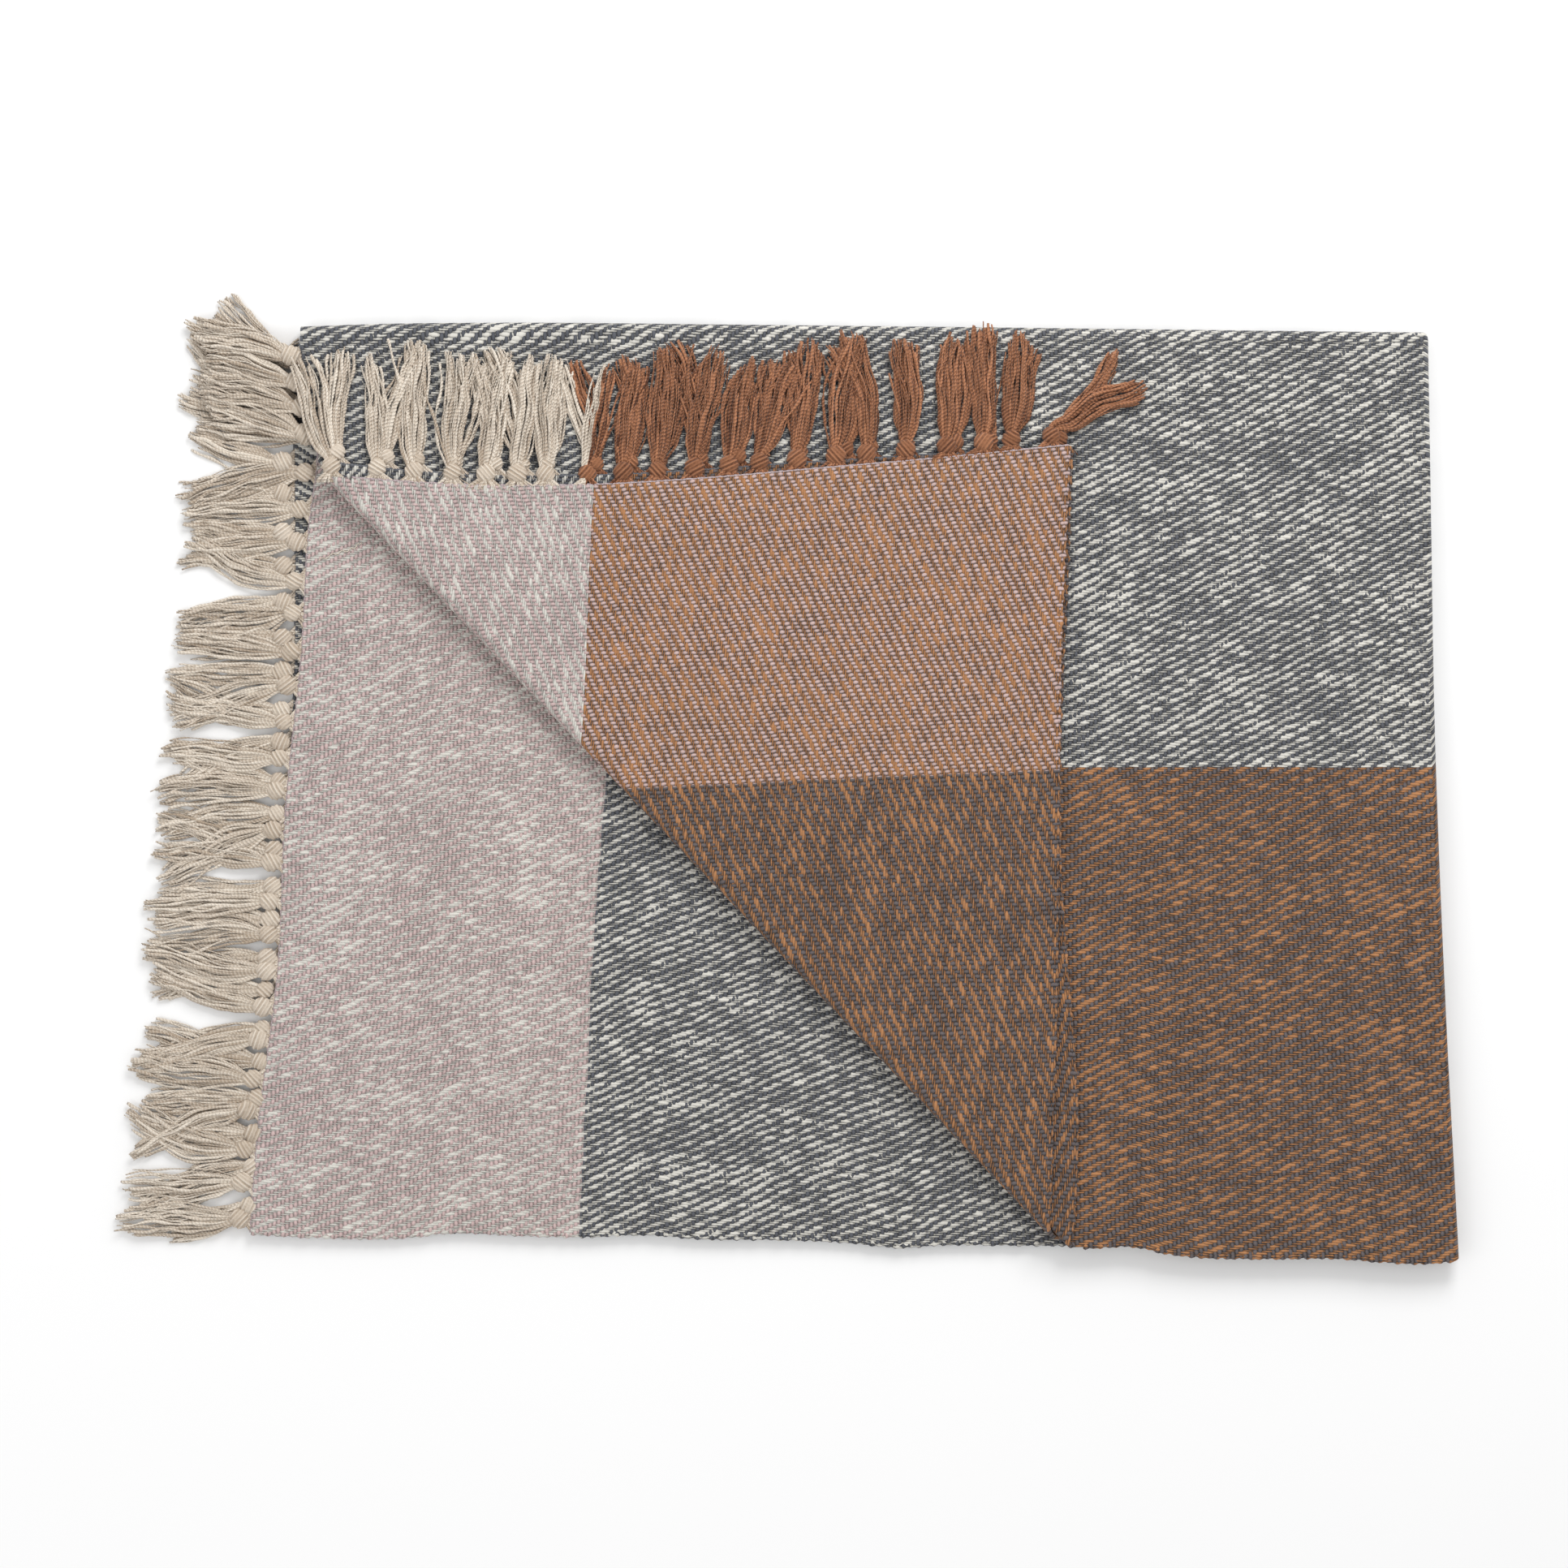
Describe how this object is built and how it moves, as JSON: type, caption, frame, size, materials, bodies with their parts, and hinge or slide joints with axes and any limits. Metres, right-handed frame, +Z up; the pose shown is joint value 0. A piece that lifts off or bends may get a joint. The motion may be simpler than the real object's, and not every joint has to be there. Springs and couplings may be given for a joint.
{
  "type": "folded throw blanket",
  "caption": "Chunky twill cotton throw with colour-block fields and knotted tassel ends, folded flat with one corner turned back; the corner and the top fold open.",
  "frame": {"origin": "on the surface that the throw lies on, under the middle of the folded throw with its fringe", "axes": "+X from the fringed edge to the folded edge, +Y to the fold at the top, +Z up"},
  "size_m": [0.9442, 0.674, 0.0246],
  "materials": {
    "throw_cloth": "woven cotton twill, matt, slubby",
    "cream_fringe": "undyed cotton yarn, matt",
    "rust_fringe": "dyed cotton yarn, matt"
  },
  "bodies": {
    "lower_half": {"lower_outer_layer": "throw_cloth", "lower_inner_layer": "throw_cloth", "end_fold_lower": "throw_cloth", "top_fold_outer": "throw_cloth", "top_fold_inner": "throw_cloth", "fringe_lower_outer_1": "cream_fringe", "fringe_lower_outer_2": "cream_fringe", "fringe_lower_outer_3": "cream_fringe", "fringe_lower_outer_4": "cream_fringe", "fringe_lower_outer_5": "cream_fringe", "fringe_lower_inner_1": "cream_fringe", "fringe_lower_inner_2": "cream_fringe", "fringe_lower_inner_3": "cream_fringe", "fringe_lower_inner_4": "cream_fringe", "fringe_lower_inner_5": "cream_fringe"},
    "upper_half": {"upper_inner_layer": "throw_cloth", "upper_outer_layer": "throw_cloth", "end_fold_upper": "throw_cloth", "corner_fold_outer": "throw_cloth", "corner_fold_inner": "throw_cloth", "fringe_upper_inner_1": "cream_fringe", "fringe_upper_outer_1": "cream_fringe"},
    "corner_flap": {"flap_inner_layer": "throw_cloth", "flap_outer_layer": "throw_cloth", "fringe_flap_inner_1": "cream_fringe", "fringe_flap_inner_2": "cream_fringe", "fringe_flap_inner_3": "rust_fringe", "fringe_flap_inner_4": "rust_fringe", "fringe_flap_inner_5": "rust_fringe", "fringe_flap_outer_1": "cream_fringe", "fringe_flap_outer_2": "cream_fringe", "fringe_flap_outer_3": "rust_fringe", "fringe_flap_outer_4": "rust_fringe", "fringe_flap_outer_5": "rust_fringe"}
  },
  "joints": [
    {"name": "top_fold", "type": "hinge", "parent": "lower_half", "child": "upper_half", "pos_m": [0, 0.3284, 0.0081], "axis": [-1, 0, 0], "range_deg": [0, 174], "deforming": ["top_fold_outer", "top_fold_inner"]},
    {"name": "corner_fold", "type": "hinge", "parent": "upper_half", "child": "corner_flap", "pos_m": [-0.06114, -0.0329, 0.0165], "axis": [0.6909, -0.723, 0], "range_deg": [0, 180], "deforming": ["corner_fold_outer", "corner_fold_inner"]}
  ]
}
